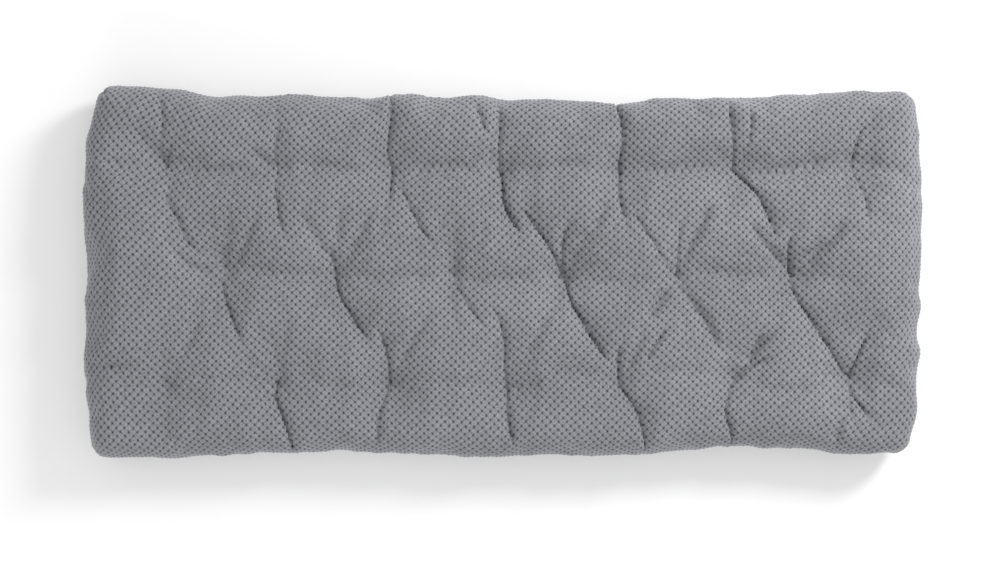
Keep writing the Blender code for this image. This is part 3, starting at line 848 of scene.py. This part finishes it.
def face_cloth():
    """The face settled and creased, without its pads and pits: points, cloth lengths, creases."""
    along, across = cloth_grid(COARSE_STEP)
    points = face_shape(along, across)
    points = settled(points, grips(points), 1 - ease(from_rim(along, across) / SEAM_CALM))
    points = eased(points)
    points, along, across = snapped(refined(points), *cloth_grid(FINE_STEP))
    depth = pinch_depth(points)
    raised = (lumps(along, across) - depth) * np.minimum(1, from_rim(along, across) / LUMP_FADE)
    points = points + normals(points) * raised[..., None]
    return drawn_in(points, along, across), along, across, depth


def make_face():
    points, along, across, depth = face_cloth()
    points = piled(points, relief(along, across), 1)
    return make_panel("face_panel", points, along, across, False, depth)


def make_back():
    along, across = cloth_grid(FINE_STEP)
    x, share_x = laid_over(along, CUT_LONG, LENGTH, BACK_RIM)
    y, share_y = laid_over(across, CUT_WIDE, WIDTH, BACK_RIM)
    x, y = bend_to_outline(x, y)
    z = SEAM_HEIGHT * (1 - share_x * share_y)
    for tuft in TUFTS:
        away = rounded(np.hypot(x - tuft.x, y - tuft.y), TUFT_CORE)
        z = np.maximum(z, BACK_PULL * np.exp(-away / BACK_REACH))
    points = drawn_in(np.stack([x, y, z], axis=-1), along, across)
    points = piled(points, relief(along, across) - PAD_RISE, -1)
    points[..., 2] = np.maximum(points[..., 2], 0)
    return make_panel("back_panel", points, along, across, True)


# ---- Finish ------------------------------------------------------------------------------

class Value:
    """A number or a vector that runs through a material's nodes."""

    def __init__(self, nodes, socket):
        self.nodes, self.socket = nodes, socket

    def maths(self, operation, *others, turn=False):
        sides = [self, *others]
        if turn:
            sides.reverse()
        return self.nodes.node("ShaderNodeMath", {"operation": operation}, dict(enumerate(sides)))

    def __add__(self, other): return self.maths("ADD", other)
    def __radd__(self, other): return self.maths("ADD", other)
    def __sub__(self, other): return self.maths("SUBTRACT", other)
    def __rsub__(self, other): return self.maths("SUBTRACT", other, turn=True)
    def __mul__(self, other): return self.maths("MULTIPLY", other)
    def __rmul__(self, other): return self.maths("MULTIPLY", other)
    def __neg__(self): return self.maths("MULTIPLY", -1.0)


class Finish:
    """A material, its shader, and the one way its other nodes are made."""

    def __init__(self, name):
        self.material = bpy.data.materials.new(name)
        self.material.use_nodes = True
        self.tree = self.material.node_tree
        self.shader = self.tree.nodes["Principled BSDF"]

    def node(self, kind, settings=None, inputs=None, output=0):
        made = self.tree.nodes.new(kind)
        for key, value in (settings or {}).items():
            setattr(made, key, value)
        for key, value in (inputs or {}).items():
            self.put(made.inputs[key], value)
        return Value(self, made.outputs[output])

    def put(self, socket, value):
        if isinstance(value, Value):
            self.tree.links.new(value.socket, socket)
        else:
            socket.default_value = value

    def feed(self, name, value):
        self.put(self.shader.inputs[name], value)

    def output(self, value, name):
        """Another output of the node that made a value."""
        return Value(self, value.socket.node.outputs[name])

    def mix(self, factor, first, second, blend="MIX"):
        return self.node(
            "ShaderNodeMix", {"data_type": "RGBA", "blend_type": blend},
            {0: factor, 6: first, 7: second}, output=2)


def fading(value):
    """1 where a value is 0, and less and less above it."""
    return (-value).maths("EXPONENT")


def wave_of(length, wave="SINE"):
    """A wave along the cloth that is as long as two repeats of the plush."""
    return (length * (math.pi / PITCH)).maths(wave)


def noise(cloth, along, across, grain):
    place = cloth.node("ShaderNodeCombineXYZ", inputs={0: along, 1: across})
    return cloth.node("ShaderNodeTexNoise", inputs={
        "Vector": place, "Scale": grain.scale, "Detail": grain.detail, "Roughness": grain.roughness})


def cloth_lengths(cloth):
    """Lengths along and across the cloth, which wander a little from an even grid."""
    places = cloth.node("ShaderNodeUVMap", {"uv_map": "cloth"})
    parts = cloth.node("ShaderNodeSeparateXYZ", inputs={0: places})
    along, across = cloth.output(parts, "X"), cloth.output(parts, "Y")
    chance = cloth.output(noise(cloth, along, across, WANDER_GRAIN), "Color")
    shift = cloth.node("ShaderNodeSeparateColor", inputs={0: chance})
    return (along + (cloth.output(shift, "Red") - 0.5) * WANDER,
            across + (cloth.output(shift, "Green") - 0.5) * WANDER)


def pits(along, across):
    """1 at the middle of each pit, on both sets of crossings."""
    wide, tall = (PITCH / math.pi / PIT_WIDE) ** 2, (PITCH / math.pi / PIT_TALL) ** 2
    found = []
    for wave in ("SINE", "COSINE"):
        u, v = wave_of(along, wave), wave_of(across, wave)
        found.append(fading(u * u * wide + v * v * tall))
    return found[0] + found[1]


def grooves(along, across):
    """1 along the middle of the grooves between the pads, both ways across the cloth."""
    sharp = (PITCH / math.pi / math.sqrt(2) / GROOVE_WIDTH) ** 2
    rising, falling = wave_of(along + across), wave_of(along - across)
    return fading(rising * rising * sharp) + fading(falling * falling * sharp)


def painted_pad_highlights(along, across):
    """1 round the shoulder of each pad, where a painted highlight lightens the plush."""
    u, v = wave_of(along), wave_of(across)
    shoulder = ((1.0 - u * u * 2.0) * (1.0 - v * v * 2.0) + PAD_HIGHLIGHT_LEVEL) * PAD_HIGHLIGHT_SHARPNESS
    return fading(shoulder * shoulder)


def plush():
    """Grey plush: soft raised pads with a painted highlight round each, pits and grooves between them
    darkened with painted shade, and a short brushed pile.
    """
    cloth = Finish("grey_plush")
    along, across = cloth_lengths(cloth)
    pit, groove, rim = pits(along, across), grooves(along, across), painted_pad_highlights(along, across)
    nap = noise(cloth, along, across, NAP_GRAIN)
    clump = noise(cloth, along, across, CLUMP_GRAIN)
    fuzz = noise(cloth, along, across, FUZZ_GRAIN)

    # painted highlight round the shoulder of each pad
    tone = TONE + rim * PAD_HIGHLIGHT
    tone = tone + (nap - 0.5) * NAP_TONE + (clump - 0.5) * CLUMP_TONE + (fuzz - 0.5) * FUZZ_TONE
    # painted shade in the pits, stronger in some clumps than in others
    pit_shade = (PIT_SHADE + clump * PIT_SHADE_CLUMP).maths("MINIMUM", PIT_SHADE_MOST)
    tone = tone * (1.0 - pit * pit_shade)
    # painted shade along the grooves between the pads
    tone = tone * (1.0 - GROOVE_SHADE * groove.maths("MINIMUM", 1.0))
    shade = cloth.node("ShaderNodeCombineColor", inputs={0: tone, 1: tone, 2: tone})
    cloth.feed("Base Color", cloth.mix(1.0, GREY, shade, "MULTIPLY"))
    cloth.feed("Roughness", PLUSH_ROUGHNESS)
    cloth.feed("Sheen Weight", PLUSH_SHEEN)
    cloth.feed("Sheen Roughness", PLUSH_SHEEN)
    cloth.feed("Specular IOR Level", PLUSH_SHINE)

    height = (fuzz - 0.5) * FUZZ_BUMP - groove * GROOVE_BUMP - pit
    cloth.feed("Normal", cloth.node("ShaderNodeBump", inputs={
        "Strength": BUMP_STRENGTH, "Distance": FUZZ_HEIGHT, "Height": height}))
    return cloth.material


def paper():
    ground = Finish("white_paper")
    ground.feed("Base Color", PAPER_WHITE)
    ground.feed("Roughness", PAPER_ROUGHNESS)
    ground.feed("Emission Color", WHITE)
    ground.feed("Emission Strength", FLOOR_GLOW)
    return ground.material


# ---- Studio ------------------------------------------------------------------------------

def make_floor():
    corners = FLOOR_REACH * np.array([(-1, -1, 0), (1, -1, 0), (1, 1, 0), (-1, 1, 0)], float)
    floor = link("floor", mesh_of("floor", corners, np.array([[0, 1, 2, 3]])))
    floor.location.z = -FLOOR_DROP
    floor.data.materials.append(paper())


def make_light(light):
    lamp = bpy.data.lights.new(light.name, "AREA")
    lamp.shape, lamp.size, lamp.energy = "DISK", light.size, light.power
    holder = link(light.name, lamp)
    holder.location = light.place
    holder.rotation_euler = (-Vector(light.place)).to_track_quat("-Z", "Y").to_euler()


def make_camera():
    data = bpy.data.cameras.new("camera")
    data.lens = VIEW_DISTANCE * data.sensor_width / VIEW_WIDTH
    data.clip_end = VIEW_END
    camera = link("camera", data)
    camera.location = (*VIEW_CENTRE, SEAM_HEIGHT + VIEW_DISTANCE)
    bpy.context.scene.camera = camera


def make_room():
    world = bpy.data.worlds.new("studio")
    world.use_nodes = True
    background = world.node_tree.nodes["Background"]
    background.inputs["Color"].default_value = WHITE
    background.inputs["Strength"].default_value = ROOM_LIGHT
    bpy.context.scene.world = world
    bpy.context.scene.view_settings.view_transform = "Standard"


def make_studio():
    make_floor()
    make_camera()
    for light in LIGHTS:
        make_light(light)
    make_room()


face = make_face()
back = make_back()
cloth = plush()
for panel in (face, back):
    panel.data.materials.append(cloth)
    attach(panel, "root")
    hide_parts("cushion")

make_studio()
